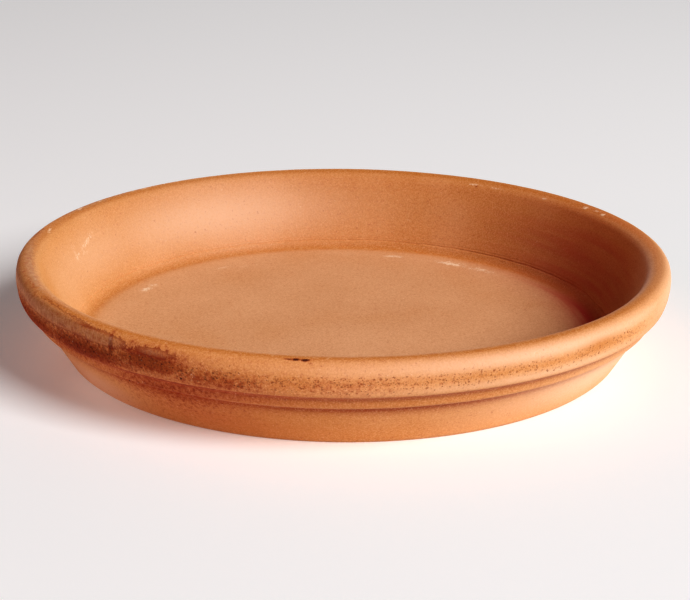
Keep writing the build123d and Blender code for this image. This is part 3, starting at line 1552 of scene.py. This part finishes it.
    def film(self, bench: Bench, ground: Ground, coats: Coats) -> Film:
        """Lays on the dried slip: thin and mottled, with a dark edge below the crest, and cracked.

        Args:
            bench: the bench that adds nodes.
            ground: what the patterns are read from.
            coats: the coats so far.

        Returns:
            Where the slip is and where it has cracked.
        """
        m = self.marks
        film = self.field(bench, "film") + ground.ragged * 0.9
        covered = bench.rise(film, 0.22, 0.62)
        outside = bench.rise(ground.along, m.crest + 1.0, m.crest - 1.5)
        edge = bench.stretch_of(film, 0.20, 0.30, 0.06) * outside
        walls = bench.cells(bench.stretched(ground.around, 1.0, 0.8), 3.4, CellReading.TO_WALL)
        cracked = bench.rise(walls, 0.07, 0.0) * covered
        coats.lay(covered * 0.56, self.slip)
        mottled = bench.noise(ground.around, 2.6, 5.0, 0.8)
        coats.lay(bench.rise(mottled, 0.50, 0.36) * covered * 0.60, self.russet)
        coats.lay(edge * 0.70, self.rust)
        coats.lay(bench.rise(mottled, 0.53, 0.66) * covered * 0.34, self.pale_powder_and_highlight)
        coats.lay(cracked * 0.22, self.pale)
        return Film(covered, cracked)

    def pores(self, bench: Bench, ground: Ground, coats: Coats, stain_and_shade: Signal) -> Signal:
        """Lays on the pores: two sizes, in clumps, sooty where the clay is stained.

        Args:
            bench: the bench that adds nodes.
            ground: what the patterns are read from.
            coats: the coats so far.
            stain_and_shade: the strength of the stains and the painted shade.

        Returns:
            The pores' strength.
        """
        porous = self.field(bench, "porous")
        pores = bench.specks(bench.stretched(ground.around, 0.9, 1.1), 1.50, porous * 0.85 - 0.04, 0.56)
        pores = bench.larger(pores, bench.specks(ground.solid, 0.92, porous * 1.25 - 0.10, 0.62) * 0.9)
        pores = pores * (0.55 + bench.rise(bench.noise(ground.around, 3.4, 3.0, 0.7), 0.36, 0.62) * 0.45)
        coats.lay(bench.rise(porous + ground.ragged, 0.15, 0.9) * 0.18, self.amber)
        coats.lay(pores * 0.82, bench.mix(bench.rise(stain_and_shade, 0.2, 0.7), self.pore, self.sooty))
        return pores

    def lime(self, bench: Bench, ground: Ground, coats: Coats) -> Signal:
        """Lays on the chalky lime, broken up by the grain.

        Args:
            bench: the bench that adds nodes.
            ground: what the patterns are read from.
            coats: the coats so far.

        Returns:
            The lime's strength.
        """
        broken = (ground.fine - 0.5) * 1.1 + bench.noise(ground.solid, 3.2, 4.0, 0.7) * 1.6 - 0.8
        lime = bench.rise(self.field(bench, "lime") + broken, 0.30, 0.80)
        coats.lay(lime * 0.80, self.chalk)
        return lime

    def scorch(self, bench: Bench, ground: Ground, coats: Coats) -> None:
        """Lays on the scorch marks: a singed edge, then soot.

        Args:
            bench: the bench that adds nodes.
            ground: what the patterns are read from.
            coats: the coats so far.
        """
        scorch = self.field(bench, "scorch")
        coats.lay(bench.rise(scorch + ground.ragged * 0.8, 0.05, 0.40) * 0.70, self.russet)
        coats.lay(bench.rise(scorch + ground.ragged * 1.3, 0.22, 0.62) * 0.90, self.soot)

    def material(self) -> bpy.types.Material:
        """Builds the material: the coats of colour, then the bumps and the gloss that go with them.

        Returns:
            The finished material. Its bump height is a weighted sum, in millimetres, of the fine
            noise, a coarser one, turning lines, lime and slip, less the pores, cracks and folds.
        """
        material = bpy.data.materials.new("fired_clay")
        bench = Bench(material)
        ground = self.ground(bench)
        coats = self.clay(bench, ground)
        self.grain(bench, ground, coats)
        self.firing_and_painted_light(bench, ground, coats)
        stain_and_shade = self.stain_and_shade(bench, ground, coats)
        folds = self.folds(bench, ground, coats)
        covered, cracked = self.film(bench, ground, coats)
        pores = self.pores(bench, ground, coats, stain_and_shade)
        lime = self.lime(bench, ground, coats)
        self.scorch(bench, ground, coats)

        lines = bench.noise(bench.stretched(ground.around, 0.02, 1.0), 1.1, 2.0, 0.6)
        height = ground.fine * 0.07 + bench.noise(ground.solid, 3.0, 2.0, 0.6) * 0.06 + lines * 0.025
        height = height - pores * 0.13 + lime * 0.03 + covered * 0.04 - cracked * 0.05 - folds * 0.12
        rough = self.roughness + covered * (self.film_roughness - self.roughness)
        rough = rough + lime * self.lime_roughening
        rough = rough + bench.rise(stain_and_shade, 0.2, 0.8) * (1.0 - covered) * self.stain_roughening
        bump = {"Strength": 1.0, "Distance": 1.0, "Height": height * MM}
        shader = {
            "Base Color": coats.colour,
            "Roughness": rough,
            "Diffuse Roughness": self.diffuse_roughness,
            "Specular IOR Level": self.shine,
            "Normal": bench.add("ShaderNodeBump", {}, bump),
        }
        bench.finish(bench.add("ShaderNodeBsdfPrincipled", {}, shader))
        return material


# The studio


@dataclass(frozen=True)
class Camera:
    """A long lens looking down on the saucer from the front, from -Y; its clip distances are in metres."""

    distance: float = 843.68
    elevation: float = 18.726
    roll: float = 0.4545
    focal_length: float = 92.40
    sensor_width: float = 36.0
    target: tuple[float, float, float] = (0.857, 0.0, 17.76)
    clip_start: float = 0.05
    clip_end: float = 20.0

    def build(self) -> bpy.types.Object:
        """Makes the camera and makes it the scene's own.

        Returns:
            The camera. It looks along the line from its place to the target, and is rolled about it.
        """
        lens = bpy.data.cameras.new("studio_camera")
        lens.sensor_fit = "HORIZONTAL"
        lens.sensor_width = self.sensor_width
        lens.lens = self.focal_length
        lens.clip_start, lens.clip_end = self.clip_start, self.clip_end
        camera = bpy.data.objects.new("studio_camera", lens)
        tilt = math.radians(self.elevation)
        back = Vector((0.0, -math.cos(tilt), math.sin(tilt)))
        place = Vector(self.target) + back * self.distance
        facing = back.to_track_quat("Z", "Y").to_matrix().to_4x4()
        turned = facing @ Matrix.Rotation(math.radians(self.roll), 4, "Z")
        camera.matrix_world = Matrix.Translation(place * MM) @ turned
        bpy.context.scene.collection.objects.link(camera)
        bpy.context.scene.camera = camera
        return camera


@dataclass(frozen=True)
class SoftLight:
    """A square soft box aimed at the saucer, with its side and its distance in metres."""

    name: str
    azimuth: float
    elevation: float
    side: float
    power: float
    distance: float = 5.0
    colour: tuple[float, float, float] = (1.0, 1.0, 1.0)

    def build(self) -> bpy.types.Object:
        """Makes the light.

        Returns:
            The light, at its distance from the middle of the saucer and facing it.
        """
        lamp = bpy.data.lights.new(self.name, "AREA")
        lamp.shape = "SQUARE"
        lamp.size = self.side
        lamp.energy = self.power
        lamp.color = self.colour
        light = bpy.data.objects.new(self.name, lamp)
        turn, tilt = math.radians(self.azimuth), math.radians(self.elevation)
        away = Vector((math.cos(tilt) * math.cos(turn), math.cos(tilt) * math.sin(turn), math.sin(tilt)))
        facing = away.to_track_quat("Z", "Y").to_matrix().to_4x4()
        light.matrix_world = Matrix.Translation(away * self.distance) @ facing
        bpy.context.scene.collection.objects.link(light)
        return light


@dataclass(frozen=True)
class Studio:
    """The floor, the surrounding light, the soft boxes and the camera."""

    camera: Camera
    lights: tuple[SoftLight, ...]
    surround: tuple[float, float, float, float] = (1.0, 1.0, 1.0, 1.0)
    surround_strength: float = 0.02
    backdrop_strength: float = 0.75
    floor_colour: tuple[float, float, float, float] = (0.90, 0.90, 0.90, 1.0)
    floor_glow: float = 0.12
    floor_roughness: float = 0.9
    floor_side: float = 5.0

    def floor(self) -> bpy.types.Object:
        """A wide pale floor just under the foot.

        Returns:
            The floor, which isn't part of the object.
        """
        half = self.floor_side / 2.0
        mesh = bpy.data.meshes.new("studio_floor")
        spots = [(-half, -half, 0.0), (half, -half, 0.0), (half, half, 0.0), (-half, half, 0.0)]
        mesh.from_pydata(spots, [], [(0, 1, 2, 3)])
        material = bpy.data.materials.new("studio_floor")
        bench = Bench(material)
        paint = {
            "Base Color": self.floor_colour,
            "Roughness": self.floor_roughness,
            "Emission Color": self.surround,
            "Emission Strength": self.floor_glow,
        }
        bench.finish(bench.add("ShaderNodeBsdfPrincipled", {}, paint))
        mesh.materials.append(material)
        floor = bpy.data.objects.new("studio_floor", mesh)
        bpy.context.scene.collection.objects.link(floor)
        return floor

    def world(self) -> None:
        """Sets the even light that comes from all round: dim, but seen as a pale backdrop."""
        world = bpy.data.worlds.new("studio_world")
        bench = Bench(world)
        seen = bench.add("ShaderNodeLightPath", {}, {}, "Is Camera Ray")
        strength = self.surround_strength + seen * (self.backdrop_strength - self.surround_strength)
        light = bench.add("ShaderNodeBackground", {}, {"Color": self.surround, "Strength": strength})
        bench.add("ShaderNodeOutputWorld", {}, {"Surface": light}, None)
        bpy.context.scene.world = world

    def build(self) -> None:
        """Makes everything in the studio."""
        self.world()
        self.floor()
        self.camera.build()
        for light in self.lights:
            light.build()
        bpy.context.scene.view_settings.view_transform = "Standard"
        bpy.context.scene.view_settings.look = "High Contrast"


# The saucer


@dataclass(frozen=True)
class Saucer:
    """The one piece: its section, its relief and its finish."""

    section: Section

    def build(self) -> bpy.types.Object:
        """Builds and dresses the saucer, and lets it stand for its CAD node.

        Returns:
            The finished piece.
        """
        profile = Profile(self.section)
        marks = Landmarks.of(profile)
        relief = Relief(marks, Patina(marks))
        arrays = SaucerSurface(profile, relief).build()
        mesh = arrays.to_mesh("saucer_body", BakeSheet(marks))
        piece = bpy.data.objects.new("saucer_body", mesh)
        bpy.context.scene.collection.objects.link(piece)
        mesh.materials.append(FiredClay(marks).material())
        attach(piece, BODY)
        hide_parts(NODE)
        log.info("%s: %d vertices, %d triangles", piece.name, len(arrays.places), arrays.triangle_count())
        return piece


def main() -> None:
    """Builds the saucer and its studio."""
    logging.basicConfig(level=logging.INFO, format="%(name)s: %(message)s")
    lowest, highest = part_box(NODE)
    section = Section(outer_radius=(highest.x - lowest.x) / 2.0 / MM, rim_height=highest.z / MM)
    Saucer(section).build()
    Studio(
        camera=Camera(),
        lights=(
            SoftLight("key", -39.0, 36.0, side=2.6, power=214.0),
            SoftLight("left_fill", -140.0, 24.0, side=2.6, power=24.0, colour=WARM),
            SoftLight("left_glow", 202.0, 2.0, side=0.3, power=9.0, distance=2.5, colour=TAWNY),
            SoftLight("back_fill", 95.0, 8.0, side=1.2, power=18.0),
        ),
    ).build()
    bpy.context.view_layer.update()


if __name__ == "__main__":
    main()
